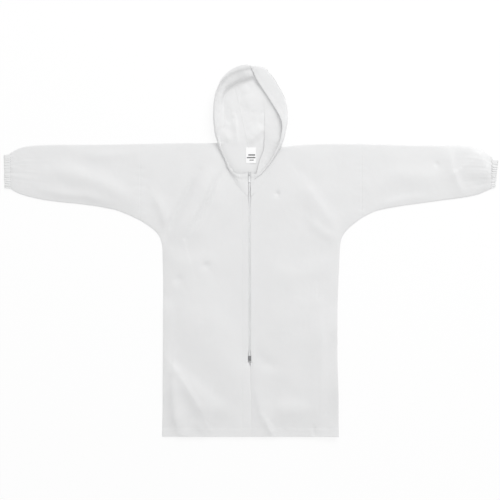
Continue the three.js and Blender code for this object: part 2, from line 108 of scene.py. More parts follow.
LAMP_POWER = 150
LAMP_SIZE = 3.2
LAMP_AWAY = 6
LAMP_HEIGHT = math.radians(34)  # above the floor
LAMP_TURN = math.radians(66)  # from +X towards +Y
lamp = bpy.data.objects.new("lamp", bpy.data.lights.new("lamp", "AREA"))
lamp.data.shape = "DISK"
lamp.data.energy = LAMP_POWER
lamp.data.size = LAMP_SIZE
towards_lamp = Vector((
    math.cos(LAMP_HEIGHT) * math.cos(LAMP_TURN),
    math.cos(LAMP_HEIGHT) * math.sin(LAMP_TURN),
    math.sin(LAMP_HEIGHT),
))
lamp.location = towards_lamp * LAMP_AWAY
lamp.rotation_mode = "QUATERNION"
lamp.rotation_quaternion = towards_lamp.to_track_quat("Z", "Y")
bpy.context.scene.collection.objects.link(lamp)

# Fronts
# Two panels of white waterproof sheet cloth, each cut in one with the upper part of its sleeve. Their long
# edges are folded under beside the zip, their hems are turned up once, and they are sewn to the back round
# the outside.
CLOTH = 0.4 * MM
EDGE_Z = 1.6 * MM  # height of the outer seams
FULL_Z = 5.5 * MM  # height of the front cloth away from its edges
ZIP_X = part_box("zip_chain")[0].x / 2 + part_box("zip_chain")[1].x / 2
HEM_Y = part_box("back")[0].y
SEAM_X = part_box("front_left")[1].x
HEM_DEPTH = 27 * MM
RINGS = (0.7 * MM, 0.9 * MM, 1.4 * MM, 2.4 * MM)  # rows of faces that round each panel's edge
FACING = 24 * MM  # from the zip's middle to the stitching of the facing
FRONT_STEP = 4.2 * MM
# Along the zip edges, from the hem up, in millimetres: y with half the gap between the fronts, and y with
# the x of the gap's middle.
ZIP_GAP = ((-634, 0.03), (-396, 0.03), (-377, 5.7), (-359, 5.7), (-340, 2.55), (140, 2.55), (182, 3.1))
ZIP_LINE = ((-634, 1.9), (-396, -2.4), (-377, -4.9))


def smooth_step(t):
    """From 0 to 1, slow at both ends."""
    t = np.clip(t, 0, 1)
    return t * t * (3 - 2 * t)


def quarter_round(t):
    """From 0 to 1, steep at first, as the edge of a round."""
    t = np.clip(t, 0, 1)
    return np.sqrt(1 - (1 - t) ** 2)


def corner(vert):
    """Degrees by which the outline turns at a vertex."""
    one, two = (edge.other_vert(vert).co - vert.co for edge in vert.link_edges)
    return 180 - math.degrees(one.angle(two))


def small_steps(panel):
    """Vertices where the outline hardly turns, with a short edge beside them."""
    return [v for v in panel.verts if min(e.calc_length() for e in v.link_edges) < 5 * MM and corner(v) < 35]


def flat_panel(node, low_z):
    """The plan of a CAD node's upper face, above low_z, as one flat face."""
    panel = bmesh.new()
    panel.from_mesh(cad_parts[node].data)
    bmesh.ops.remove_doubles(panel, verts=panel.verts, dist=0.01 * MM)
    under = [f for f in panel.faces if f.normal.z < 0.05 or f.calc_center_median().z < low_z]
    bmesh.ops.delete(panel, geom=under, context="FACES")
    for v in panel.verts:
        v.co.z = 0
    panel.normal_update()
    bmesh.ops.dissolve_faces(panel, faces=panel.faces[:])
    bmesh.ops.dissolve_limit(panel, angle_limit=math.radians(0.4), verts=panel.verts[:], edges=panel.edges[:])
    while short := small_steps(panel):
        bmesh.ops.dissolve_verts(panel, verts=short[:1])
    for f in panel.faces:
        if f.normal.z < 0:
            f.normal_flip()
    for v in [v for v in panel.verts if 1.5 < corner(v) < 35]:
        reach = 0.36 * min(e.calc_length() for e in v.link_edges)
        if reach > 2.5 * MM:
            reach = min(reach, 16 * MM)
            bmesh.ops.bevel(panel, geom=[v], offset=reach, segments=3, affect="VERTICES", profile=0.5, material=-1)
    return panel


def close_to_zip(panel, side):
    """Moves a front's zip edge in to the coil, and to the other front below the zip."""
    for v in panel.verts:
        x, y = v.co.xy
        if abs(x - ZIP_X) < 8 * MM and y < 181 * MM:
            gap = np.interp(y / MM, *zip(*ZIP_GAP))
            middle = np.interp(y / MM, *zip(*ZIP_LINE))
            v.co.x = (middle + side * gap) * MM


def outline(panel):
    """The outline's stretches as rows of x1, y1, x2, y2."""
    return np.array([[*e.verts[0].co.xy, *e.verts[1].co.xy] for e in panel.edges if e.is_boundary])


def distance(stretches, x, y):
    """Least distance from each point to any of the stretches."""
    least = np.full(len(x), 1e3)
    for x1, y1, x2, y2 in stretches:
        dx, dy = x2 - x1, y2 - y1
        t = np.clip(((x - x1) * dx + (y - y1) * dy) / max(dx * dx + dy * dy, 1e-12), 0, 1)
        least = np.minimum(least, np.hypot(x - x1 - t * dx, y - y1 - t * dy))
    return least


def cut(panel, axis, places):
    """Cuts the flat faces by planes across an axis, from the lowest up."""
    faces = panel.faces[:]
    normal = Vector((axis == 0, axis == 1, 0))
    for place in sorted(places):
        geom = list({g for f in faces for g in (f, *f.edges, *f.verts)})
        done = bmesh.ops.bisect_plane(panel, geom=geom, dist=0.02 * MM, plane_co=normal * place, plane_no=normal)
        faces = [f for f in done["geom"] if isinstance(f, bmesh.types.BMFace)]
        faces = [f for f in faces if max(v.co[axis] for v in f.verts) > place + 0.03 * MM]


def meshed(panel, step, extra_x=(), extra_y=()):
    """Rings of faces round the edge and a square mesh inside it."""
    for width in RINGS:
        inner = max(panel.faces, key=lambda f: f.calc_area())
        bmesh.ops.inset_region(panel, faces=[inner], thickness=width, use_even_offset=True, use_boundary=True)
    low = [min(v.co[k] for v in panel.verts) for k in (0, 1)]
    high = [max(v.co[k] for v in panel.verts) for k in (0, 1)]
    for axis, extra in ((0, extra_x), (1, extra_y)):
        steps = np.arange(low[axis] + step / 2, high[axis], step)
        kept = [p for p in steps if all(abs(p - e) > step / 3 for e in extra)]
        cut(panel, axis, [*kept, *extra])


def raised(panel, height):
    """Gives every point the height that a function of x and y says."""
    xy = np.array([v.co.xy for v in panel.verts])
    for v, z in zip(panel.verts, height(xy[:, 0], xy[:, 1])):
        v.co.z = z


def as_piece(panel, name, material, thickness=None, flip=False, body="coat"):
    """A named piece from a bmesh, riding on a body, as a shell if it has a thickness."""
    if flip:
        bmesh.ops.reverse_faces(panel, faces=panel.faces[:])
    for f in panel.faces:
        f.smooth = True
    for e in panel.edges:
        e.smooth = not e.is_boundary
    mesh = bpy.data.meshes.new(name)
    panel.to_mesh(mesh)
    panel.free()
    piece = bpy.data.objects.new(name, mesh)
    bpy.context.scene.collection.objects.link(piece)
    mesh.materials.append(material)
    if thickness:
        shell = piece.modifiers.new("thickness", "SOLIDIFY")
        shell.thickness = thickness
        shell.offset = -1
    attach(piece, body)
    return piece


# The cloth: a thin laminate with a faint pebbled grain and fine crinkles from handling.
crinkle = bpy.data.node_groups.new("cloth_crinkle", "ShaderNodeTree")
for name, kind, way in (
    ("Vector", "NodeSocketVector", "INPUT"),
    ("Crinkle Scale", "NodeSocketFloat", "INPUT"),
    ("Grain Scale", "NodeSocketFloat", "INPUT"),
    ("Height", "NodeSocketFloat", "OUTPUT"),
    ("Mottle", "NodeSocketFloat", "OUTPUT"),
):
    crinkle.interface.new_socket(name, in_out=way, socket_type=kind)
entry = crinkle.nodes.new("NodeGroupInput")
result = crinkle.nodes.new("NodeGroupOutput")
creases = crinkle.nodes.new("ShaderNodeTexNoise")
creases.noise_type = "RIDGED_MULTIFRACTAL"
creases.inputs["Detail"].default_value = 3
creases.inputs["Distortion"].default_value = 0.5
grain = crinkle.nodes.new("ShaderNodeTexNoise")
grain.inputs["Detail"].default_value = 2
mottle = crinkle.nodes.new("ShaderNodeTexNoise")
mottle.inputs["Scale"].default_value = 14
mottle.inputs["Detail"].default_value = 4
blend = crinkle.nodes.new("ShaderNodeMath")
blend.operation = "MULTIPLY_ADD"
blend.inputs[1].default_value = 0.16
link = crinkle.links.new
link(entry.outputs["Vector"], creases.inputs["Vector"])
link(entry.outputs["Crinkle Scale"], creases.inputs["Scale"])
link(entry.outputs["Vector"], grain.inputs["Vector"])
link(entry.outputs["Grain Scale"], grain.inputs["Scale"])
link(entry.outputs["Vector"], mottle.inputs["Vector"])
link(grain.outputs["Fac"], blend.inputs[0])
link(creases.outputs["Fac"], blend.inputs[2])
link(blend.outputs[0], result.inputs["Height"])
link(mottle.outputs["Fac"], result.inputs["Mottle"])


def cloth_material(name, dark, light, roughness, crinkle_scale, grain_scale, depth, through_share=0.14):
    """Cloth between two colours, with crinkles and grain, that lets a share of the light through."""
    material = bpy.data.materials.new(name)
    material.use_nodes = True
    tree = material.node_tree
    surface = tree.nodes["Principled BSDF"]
    surface.inputs["Specular IOR Level"].default_value = 0.35
    surface.inputs["Sheen Weight"].default_value = 0.08
    surface.inputs["Sheen Roughness"].default_value = 0.5
    place = tree.nodes.new("ShaderNodeTexCoord")
    texture = tree.nodes.new("ShaderNodeGroup")
    texture.node_tree = crinkle
    texture.inputs["Crinkle Scale"].default_value = crinkle_scale
    texture.inputs["Grain Scale"].default_value = grain_scale
    colour = tree.nodes.new("ShaderNodeMix")
    colour.data_type = "RGBA"
    colour.inputs["A"].default_value = (*dark, 1)
    colour.inputs["B"].default_value = (*light, 1)
    gloss = tree.nodes.new("ShaderNodeMapRange")
    gloss.inputs["To Min"].default_value = roughness - 0.07
    gloss.inputs["To Max"].default_value = roughness + 0.07
    bump = tree.nodes.new("ShaderNodeBump")
    bump.inputs["Strength"].default_value = 0.5
    bump.inputs["Distance"].default_value = depth
    tree.links.new(place.outputs["Object"], texture.inputs["Vector"])
    tree.links.new(texture.outputs["Mottle"], colour.inputs["Factor"])
    tree.links.new(colour.outputs["Result"], surface.inputs["Base Color"])
    tree.links.new(texture.outputs["Mottle"], gloss.inputs["Value"])
    tree.links.new(gloss.outputs["Result"], surface.inputs["Roughness"])
    tree.links.new(texture.outputs["Height"], bump.inputs["Height"])
    tree.links.new(bump.outputs["Normal"], surface.inputs["Normal"])
    through = tree.nodes.new("ShaderNodeBsdfTranslucent")
    through.inputs["Color"].default_value = (0.9, 0.9, 0.9, 1)
    mixed = tree.nodes.new("ShaderNodeMixShader")
    mixed.inputs["Fac"].default_value = through_share
    tree.links.new(surface.outputs["BSDF"], mixed.inputs[1])
    tree.links.new(through.outputs["BSDF"], mixed.inputs[2])
    tree.links.new(mixed.outputs["Shader"], tree.nodes["Material Output"].inputs["Surface"])
    return material


rain_cloth = cloth_material("rain_cloth", (0.875, 0.877, 0.88), (0.905, 0.906, 0.908), 0.5, 34, 1400, 0.45 * MM)

# Folds of the upper cloth, in millimetres: the height, the widths of the left and right flanks, looking
# along the line, the crest, which is 2 for a soft fold and less for a sharp one, and the line's points from
# first to last.
FOLDS = [
    (9, 62, 70, 2, (-268, 10), (-214, 110), (-156, 214), (-120, 300)),
    (-10, 13, 17, 1.7, (-300, 30), (-268, 96), (-224, 178), (-176, 270)),
    (-6.5, 8, 9, 1.7, (-222, 40), (-158, 150), (-122, 232), (-84, 284)),
    (4.5, 16, 26, 1.7, (-284, 70), (-304, 138), (-334, 190)),
    (-3, 28, 14, 1.8, (-130, 380), (-112, 340), (-90, 312)),
    (-4.5, 11, 9, 1.8, (-66, 244), (-38, 212)),
    (-5, 6, 7, 2, (91, 198), (89, 184)),
    (-3, 15, 15, 2, (-160, -42), (-146, -66)),
    (-3.4, 17, 17, 2, (-254, -88), (-238, -112)),
    (2.6, 26, 34, 1.8, (-288, -30), (-222, -44), (-150, -34), (-92, -52)),
    (10, 80, 118, 2, (-186, -120), (-150, -260), (-76, -400), (16, -520)),
    (6.5, 16, 30, 1.6, (-290, -366), (-236, -438), (-196, -500), (-160, -566)),
    (11, 30, 16, 1.8, (-266, -420), (-262, -520), (-254, -580), (-238, -622)),
    (5.5, 36, 22, 1.9, (-170, -634), (-150, -580), (-138, -510)),
    (7, 30, 44, 2, (-236, -420), (-150, -520), (-60, -560)),
    (3.2, 40, 54, 2, (66, 118), (118, 176), (182, 262)),
    (4.4, 38, 22, 1.8, (290, 62), (250, 122), (204, 190), (170, 240)),
    (3, 20, 18, 1.7, (298, 34), (246, 60), (190, 106)),
    (2.2, 34, 30, 1.9, (60, -60), (140, -84), (222, -70), (284, -40)),
    (6, 80, 76, 2, (130, -130), (144, -260), (132, -400), (120, -520)),
    (8, 24, 44, 1.9, (228, -190), (238, -330), (236, -470), (230, -634)),
    (-3.6, 22, 20, 1.9, (14, -350), (44, -384), (88, -398)),
    (4.6, 20, 12, 1.6, (4, -452), (22, -516), (42, -592)),
    (5.5, 8, 12, 1.4, (44, -566), (58, -600), (76, -634)),
    (6.5, 34, 42, 2, (70, -548), (140, -540), (206, -552)),
    (-3, 5, 5, 1.6, (213, -596), (216, -634)),
    (7.5, 40, 32, 1.9, (-404, 168), (-500, 222), (-604, 258), (-690, 262)),
    (5, 16, 22, 1.8, (-470, 156), (-560, 182), (-640, 188), (-716, 206)),
    (2.4, 18, 22, 2, (-400, 330), (-500, 320), (-590, 330)),
    (4, 34, 40, 1.9, (404, 214), (500, 252), (600, 246), (680, 262)),
    (12, 22, 78, 1.9, (750, 350), (780, 322), (796, 272), (794, 220)),
    (4, 9, 26, 1.5, (676, 356), (683, 276), (703, 230), (722, 190)),
    (2.6, 14, 20, 1.8, (430, 150), (520, 172), (612, 178)),
    (-2.4, 7, 7, 2, (628, 298), (634, 284)),
]


def fold_height(folds, x, y):
    """Height that the folds add at each point."""
    total = np.zeros(len(x))
    for height, left, right, crest, *points in folds:
        line = np.array(points) * MM
        lengths = np.hypot(*np.diff(line, axis=0).T)
        starts = np.concatenate([[0], np.cumsum(lengths)])
        best = np.full(len(x), 1e3)
        off = np.zeros(len(x))
        along = np.zeros(len(x))
        for (x1, y1), (x2, y2), start, length in zip(line, line[1:], starts, lengths):
            dx, dy = (x2 - x1) / length, (y2 - y1) / length
            t = (x - x1) * dx + (y - y1) * dy
            near = np.clip(t, 0, length)
            away = np.hypot(x - x1 - near * dx, y - y1 - near * dy)
            closer = away < best
            side = np.sign((y - y1) * dx - (x - x1) * dy)
            best = np.where(closer, away, best)
            off = np.where(closer, side * away, off)
            along = np.where(closer, start + near, along)
        width = np.where(off > 0, left, right) * MM
        along /= starts[-1]
        fade = 0.35 + 0.65 * smooth_step(along / 0.3) * smooth_step((1 - along) / 0.3)
        total += height * MM * fade * np.exp(-(best / width) ** crest)
    return total


def wander(x, y, size, seed):
    """Smooth random numbers from about -1 to 1, with features of this size."""
    return np.array([noise.noise(Vector((a / size, b / size, seed))) for a, b in zip(x, y)]) * 1.6


def handling(x, y):
    """Shallow dents and fine crinkles that all of the cloth has."""
    soft = wander(x, y, 95 * MM, 1.5) * 0.9 + wander(x, y, 38 * MM, 7.5) * 0.28
    bent = wander(x, y, 60 * MM, 11.5)
    fine = 1 - np.abs(wander(x + bent * 6 * MM, y * 0.7, 21 * MM, 4.5))
    return (soft + 0.16 * fine) * MM


UPPER_NODES = ("front_right", "front_left", "sleeve_right", "sleeve_left")
plans = {node: flat_panel(node, 1.7 * MM) for node in UPPER_NODES}
close_to_zip(plans["front_right"], -1)
close_to_zip(plans["front_left"], 1)
edges = {node: outline(plan) for node, plan in plans.items()}
middles = {node: (rows[:, :2] + rows[:, 2:]) / 2 for node, rows in edges.items()}


def is_neck(x, y):
    """Whether points lie on the neck edge."""
    return (np.abs(x) < 108.7 * MM) & (y > 181 * MM)


def is_zip(x, y):
    """Whether points lie on the edges along the zip and below it."""
    return (np.abs(x - ZIP_X) < 8 * MM) & (y < 182 * MM) & (y > HEM_Y + 0.1 * MM)


silhouette = []
for node, rows in edges.items():
    x, y = middles[node].T
    ends = (np.abs(np.abs(x) - SEAM_X) < 1 * MM) | (np.abs(x) > 814 * MM) | (y < HEM_Y + 0.1 * MM)
    silhouette.extend(rows[~(ends | is_neck(x, y) | is_zip(x, y))])
body_edges = np.vstack([edges["front_right"], edges["front_left"]])
x, y = ((body_edges[:, :2] + body_edges[:, 2:]) / 2).T
neck_edges = body_edges[is_neck(x, y)]
zip_edges = body_edges[is_zip(x, y)]


def side_lift(x, y):
    """Height by which the side seams curl up off the surface."""
    left = 13 * smooth_step((x / MM - 222) / 84) * smooth_step((-170 - y / MM) / 120)
    right = 5.5 * smooth_step((-x / MM - 246) / 56) * smooth_step((-150 - y / MM) / 60)
    right *= smooth_step((y / MM + 560) / 90)
    ripple = 0.85 + 0.25 * np.sin(y / MM / 41)
    return (left + right) * ripple * MM


def front_top(x, y):
    """Upper face of the fronts and of the sleeves' upper side."""
    from_side = distance(silhouette, x, y)
    from_zip = distance(zip_edges, x, y)
    from_neck = distance(neck_edges, x, y)
    lift = 0.42 * quarter_round(from_side / (4.5 * MM)) + 0.58 * (1 - np.exp(-from_side / (26 * MM)))
    z = EDGE_Z + (FULL_Z - EDGE_Z) * lift
    calm = (1 - np.exp(-from_side / (14 * MM))) * (1 - np.exp(-from_zip / (24 * MM)))
    calm *= 1 - np.exp(-from_neck / (26 * MM))
    z += (fold_height(FOLDS, x, y) + handling(x, y)) * calm
    z -= 0.3 * MM * (1 - quarter_round(from_zip / (1.6 * MM)))
    z -= 0.2 * MM * (1 - quarter_round(from_neck / (1.6 * MM)))
    # The turned-up hem is two layers thick, and puckers between its stitches.
    from_hem = y - HEM_Y
    z += 0.45 * MM * smooth_step((HEM_DEPTH + 1 * MM - from_hem) / (2.2 * MM))
    z -= 1.2 * MM * (1 - quarter_round(from_hem / (1.8 * MM)))
    pucker = wander(x, y * 0.2, 17 * MM, 20.5)
    z += 0.5 * MM * pucker * np.exp(-(((from_hem - HEM_DEPTH) / (14 * MM)) ** 2))
    # The sleeve seam is a shallow valley with small puckers across it.
    from_seam = np.abs(np.abs(x) - SEAM_X)
    z -= 0.3 * MM * np.exp(-((from_seam / (2 * MM)) ** 2))
    z += 0.55 * MM * wander(x * 0.2, y, 15 * MM, 30.5) * np.exp(-((from_seam / (20 * MM)) ** 2)) * calm
    # A row of stitching holds the facing down beside the zip on the wearer's right.
    from_facing = np.abs(x - ZIP_X + FACING)
    z -= 0.35 * MM * np.exp(-((from_facing / (1.6 * MM)) ** 2)) * (y < 170 * MM)
    # The zip's tape shows through as a low step beside its outer edge.
    from_coil = np.abs(x - ZIP_X)
    step = smooth_step((18 * MM - from_coil) / (5 * MM)) * ((y > -380 * MM) & (from_coil < 60 * MM))
    z += 0.8 * MM * step * np.clip(0.55 + wander(x * 0.1, y, 70 * MM, 51.5), 0, 1.2)
    return z + side_lift(x, y)


hem_rows = [HEM_Y + HEM_DEPTH + k * MM for k in (-1.2, 0, 1.2)]
facing_rows = [ZIP_X - FACING + k * MM for k in (-1.5, 0, 1.5)]
for side in ("right", "left"):
    panel = plans[f"front_{side}"].copy()
    cut_area = sum(f.calc_area() for f in panel.faces)
    sign = 1 if side == "left" else -1
    seam_rows = [sign * (SEAM_X - k * MM) for k in (1.6, 3.4)]
    extra_x = facing_rows + seam_rows if side == "right" else seam_rows
    meshed(panel, FRONT_STEP, extra_x, hem_rows)
    raised(panel, front_top)
    piece = as_piece(panel, f"front_panel_{side}", rain_cloth, CLOTH)
    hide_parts(f"front_{side}")

# Back
# One panel with the upper parts of both sleeves, lying flat on the surface. It meets the fronts at the
# outer seams, and its hem is turned up like theirs.
BACK_STEP = 6 * MM


def back_bottom(x, y):
    """Lower face of the back and of the sleeves' under side."""
    from_side = distance(silhouette, x, y)
    z = EDGE_Z * (1 - quarter_round(from_side / (4.5 * MM)))
    from_hem = y - HEM_Y
    z += 0.5 * MM * (1 - quarter_round(from_hem / (1.8 * MM)))
    from_seam = np.abs(np.abs(x) - SEAM_X)
    z += 0.3 * MM * np.exp(-((from_seam / (2.2 * MM)) ** 2))
    z += 0.25 * MM * np.exp(-(((from_hem - HEM_DEPTH) / (1.6 * MM)) ** 2))
    return z + side_lift(x, y)


panel = flat_panel("back", 1.4 * MM)
cut_area = sum(f.calc_area() for f in panel.faces)
seam_rows = [s * (SEAM_X - k * MM) for s in (-1, 1) for k in (1.6, 3.4)]
meshed(panel, BACK_STEP, seam_rows, hem_rows)
raised(panel, back_bottom)
back_panel = as_piece(panel, "back_panel", rain_cloth, CLOTH, flip=True)
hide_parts("back")

# Sleeves
# Each is a straight tube sewn to the body's short sleeve, pressed flat and narrowing to its cuff, where the
# elastic gathers it into fine pleats that fan out and die away.
SLEEVE_STEP = 4.6 * MM
CUFF_X = abs(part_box("sleeve_left")[1].x)
PLEATS = 13
PLEAT_REACH = 74 * MM


def sleeve_edges(node):
    """The points of a sleeve's upper and lower folded edges, in order of x."""
    rows = edges[node]
    rows = rows[np.abs(rows[:, 0] - rows[:, 2]) > 1 * MM]
    points = np.vstack([rows[:, :2], rows[:, 2:]])
    middle = points[:, 1].mean()
    upper = points[points[:, 1] > middle]
    lower = points[points[:, 1] <= middle]
    upper, lower = upper[np.argsort(upper[:, 0])], lower[np.argsort(lower[:, 0])]
    return upper, lower


def pleat_wave(share, seed):
    """Uneven pleats across the cuff: rounded crests and narrower valleys."""
    warp = np.array([noise.noise(Vector((s * 5, seed, 0))) for s in share])
    turn = 2 * math.pi * (PLEATS * share + 1.3 * warp)
    return 1.35 * np.abs(np.cos(turn / 2)) ** 0.8 - 0.85


for side, sign in (("right", -1), ("left", 1)):
    node = f"sleeve_{side}"
    upper, lower = sleeve_edges(node)

    def pleats(x, y):
        """Height of the gathers that fan out from the cuff."""
        high = np.interp(x, upper[:, 0], upper[:, 1])
        low = np.interp(x, lower[:, 0], lower[:, 1])
        share = np.clip((y - low) / np.maximum(high - low, 1 * MM), 0, 1)
        from_cuff = np.maximum(CUFF_X - np.abs(x), 0)
        reach = PLEAT_REACH * (0.62 + 0.5 * np.abs(np.sin(share * 17 + sign)))
        fade = np.exp(-((from_cuff / reach) ** 1.5))
        return 1.7 * MM * pleat_wave(share, 3 + sign) * fade * np.sqrt(np.sin(math.pi * share) + 0.02)

    def sleeve_top(x, y):
        from_side = distance(silhouette, x, y)
        return front_top(x, y) + pleats(x, y) * (1 - np.exp(-from_side / (5 * MM)))

    def sleeve_bottom(x, y):
        lift = quarter_round(distance(silhouette, x, y) / (6 * MM))
        near_cuff = np.exp(-(((CUFF_X - np.abs(x)) / (26 * MM)) ** 2))
        return back_bottom(x, y) + np.maximum(0, pleats(x, y)) * 0.6 * lift * near_cuff

    tube_area = 2 * sum(f.calc_area() for f in plans[node].faces)
    seam_rows = [sign * (SEAM_X + k * MM) for k in (1.6, 3.4)]
    top = plans[node].copy()
    meshed(top, SLEEVE_STEP, seam_rows)
    under = top.copy()
    raised(top, sleeve_top)
    raised(under, sleeve_bottom)
    bmesh.ops.reverse_faces(under, faces=under.faces[:])
    under_mesh = bpy.data.meshes.new("under")
    under.to_mesh(under_mesh)
    under.free()
    top.from_mesh(under_mesh)
    bpy.data.meshes.remove(under_mesh)
    bmesh.ops.remove_doubles(top, verts=top.verts, dist=0.03 * MM)
    # The seam's end is tucked into the body's short sleeve.
    for v in top.verts:
        tuck = 1 - min(1, (abs(v.co.x) - SEAM_X) / (1.2 * MM))
        v.co.x -= sign * 1.6 * MM * tuck
        v.co.z += (0.5 if v.co.z < 1.6 * MM else -0.5) * MM * tuck
    piece = as_piece(top, f"sleeve_tube_{side}", rain_cloth, CLOTH)
    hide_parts(node)

# Cuffs
# Each is a folded casing of the same cloth, sewn to the sleeve's gathered end, with elastic inside that
# draws it into fine uneven pleats.
CUFF_STEPS = 26
CUFF_ROUND = 232
CUFF_SLANT = {"right": 3 * MM, "left": 11 * MM}  # how much shorter its lower edge is
CUFF_SEAMS = (0.11, 0.86)  # the rows of stitching, as shares of the way out
cuff_rows = []
for side, sign in (("right", -1), ("left", 1)):
    low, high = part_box(f"cuff_{side}")
    start, end = sorted((abs(low.x), abs(high.x)))
    upper, lower = sleeve_edges(f"sleeve_{side}")
    low_y, high_y = (np.interp(sign * start, rows[:, 0], rows[:, 1]) for rows in (lower, upper))

    def cuff_point(along, turn, inner=0.0):
        """A point of the casing, by the way out along it and the turn round it."""
        draw = float(smooth_step(along / 0.3))
        bottom = low_y + (low.y - low_y) * draw + 2 * MM * along + inner
        top = high_y + (high.y - high_y) * draw - 3 * MM * along - inner
        share = (1 - math.cos(turn)) / 2
        upward = 1 if turn < math.pi else -1
        half = (2.4 * MM - inner) * max(0, 4 * share * (1 - share)) ** 0.35
        wave = float(pleat_wave(np.array([share]), 3 + sign)[0])
        tuck = 0.8 * noise.noise(Vector((share * 31, along * 1.3, 5 * upward)))
        ridge = 1.3 * MM * (wave + tuck) * min(1, half / (1.5 * MM))
        pinch = 1 - 0.3 * sum(math.exp(-((along - seam) / 0.06) ** 2) for seam in CUFF_SEAMS)
        z = 3 * MM + upward * half * pinch + ridge * (1 if upward > 0 else -0.5)
        uneven = 1.5 * MM * noise.noise(Vector((share * 9, sign, 0)))
        reach = end - start - CUFF_SLANT[side] * (1 - share) + uneven
        return Vector((sign * (start + reach * along), bottom + (top - bottom) * share, z))

    cuff = bmesh.new()
    bmesh.ops.create_grid(cuff, x_segments=CUFF_STEPS, y_segments=CUFF_ROUND, size=0.5)
    for v in cuff.verts:
        # Out along the outside of the casing, and back along its inside.
        across = 2 * (v.co.x + 0.5)
        inner = 1.1 * MM * float(smooth_step((across - 0.94) / 0.12))
        v.co = cuff_point(min(across, 2 - across), 2 * math.pi * (v.co.y + 0.5), inner)
        v.co.z = max(v.co.z, (0.1 + (across > 1)) * MM)
    bmesh.ops.remove_doubles(cuff, verts=cuff.verts, dist=0.02 * MM)
    bmesh.ops.recalc_face_normals(cuff, faces=cuff.faces)
    for along in CUFF_SEAMS:
        row = [cuff_point(along, math.pi * k / 60) + Vector((0, 0, 0.03 * MM)) for k in range(3, 58)]
        cuff_rows.append(row)
    piece = as_piece(cuff, f"cuff_casing_{side}", rain_cloth, CLOTH)
    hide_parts(f"cuff_{side}")

# Hood
# Two panels of the same cloth joined by a seam over the crown and sewn to the neck. It lies on its back
# with the face opening upwards, leans to the wearer's left, and its opening has a hem turned to the inside.
CROWN = 8  # the section at the crown seam
HOOD_ROWS = 17  # rows of points from one section to the next
HOOD_COLUMNS = 64
HEM_WIDTH = 17 * MM
HEM_COLUMNS = 12
# A row for each section, round the opening from the zip up the wearer's right and down the left, in
# millimetres. Columns: x and y on the neck seam, and 1 if it lies on the fronts; then x, y and height of
# the crease where the cloth turns up, of the widest point, and of the face edge. Places are as seen from
# the camera.
HOOD = np.array([
    (-8.9, 182, 1, -8.9, 214, 6, -8.9, 240, 5.2, -10.2, 260, 5.9),
    (-30, 200, 1, -38, 226, 7.5, -43, 244, 9, -46, 259, 11),
    (-58, 236, 1, -60, 254, 6.5, -69, 267, 8.5, -66, 275, 10.5),
    (-84, 296, 1, -85, 303, 6, -91, 311, 9.5, -87, 316, 12.5),
    (-104, 364, 1, -107, 367, 4, -115, 370, 11, -110, 370, 16),
    (-84, 357, 0, -93, 432, 0, -128, 434, 26, -122, 434, 32),
    (-56, 351, 0, -94, 500, 0, -127, 502, 29, -121, 500, 36),
    (-32, 351, 0, -83, 539, 0, -107, 563, 33, -109, 566, 38),
    (-8, 351, 0, -54, 561, 0, -67, 598, 33, -71, 611, 38),
    (6, 351, 0, -18, 575, 0, -21, 615, 32, -22, 630, 36),
    (20, 351, 0, 14, 578, 0, 12, 626, 20, -2, 622, 26),
    (36, 351, 0, 26, 557, 0, 57, 611, 7.5, 26, 570, 9),
    (56, 351, 0, 42, 494, 0, 111, 523, 10, 74, 496, 10.5),
    (82, 351, 0, 44, 438, 0, 124, 454, 17, 105, 436, 19),
    (108, 350, 1, 44, 382, 1, 108, 372, 19, 100, 377, 21),
    (94, 328, 1, 42, 342, 3, 87, 332, 13, 82, 333, 16),
    (68, 278, 1, 28, 302, 5, 63, 292, 9.5, 59, 294, 12.5),
    (36, 218, 1, 17, 256, 6.2, 30, 254, 8, 29, 261, 9.5),
    (-1.1, 182, 1, -1.1, 214, 6, -1.1, 240, 5.2, 0.2, 260, 5.9),
])
# The hood's folds are given as the fronts' are.
HOOD_FOLDS = [
    (7, 14, 24, 1.8, (44, 428), (32, 404), (10, 380), (-18, 360)),
    (3.6, 6, 20, 1.6, (-52, 452), (-50, 404), (-47, 356)),
    (-3.4, 6, 8, 1.7, (-78, 476), (-74, 452), (-70, 428)),
    (-2.2, 5, 6, 1.8, (2, 468), (22, 467), (40, 466)),
    (3, 14, 18, 1.9, (-96, 420), (-86, 390), (-74, 356)),
    (2.5, 22, 26, 2, (-20, 560), (-6, 520), (-10, 470)),
]


def hermite(p, q, a, b, t):
    """The smooth curve from p, where it runs as a, to q, where it runs as b, at share t of the way."""
    return (
        (2 * t**3 - 3 * t**2 + 1) * p + (t**3 - 2 * t**2 + t) * a
        + (3 * t**2 - 2 * t**3) * q + (t**3 - t**2) * b
    )


def smooth_rows(rows, places):
    """Rows of numbers between the given ones, on a smooth curve through them, at places counted in rows."""
    rows = np.asarray(rows, dtype=float)
    slopes = np.gradient(rows, axis=0)
    k = np.clip(np.floor(places).astype(int), 0, len(rows) - 2)
    t = np.reshape(places - k, (-1,) + (1,) * (rows.ndim - 1))
    return hermite(rows[k], rows[k + 1], slopes[k], slopes[k + 1], t)


def curve_through(points, count):
    """Points on a smooth curve through the given ones, however unevenly these are spaced."""
    reach = np.concatenate([[0], np.cumsum(np.linalg.norm(np.diff(points, axis=0), axis=1))])
    slopes = np.gradient(points, reach, axis=0)
    at = np.linspace(0, reach[-1], count)
    k = np.clip(np.searchsorted(reach, at, side="right") - 1, 0, len(points) - 2)
    long = (reach[k + 1] - reach[k])[:, None]
    t = (at - reach[k])[:, None] / long
    return hermite(points[k], points[k + 1], slopes[k] * long, slopes[k + 1] * long, t)


def shrink(point):
    """Share by which a point looks further out than it is, because it is nearer to the camera."""
    return point[2] * MM / camera.location.z


neck_z = np.where(HOOD[:, 2] == 1, front_top(HOOD[:, 0] * MM, HOOD[:, 1] * MM) / MM + 0.2, 0)


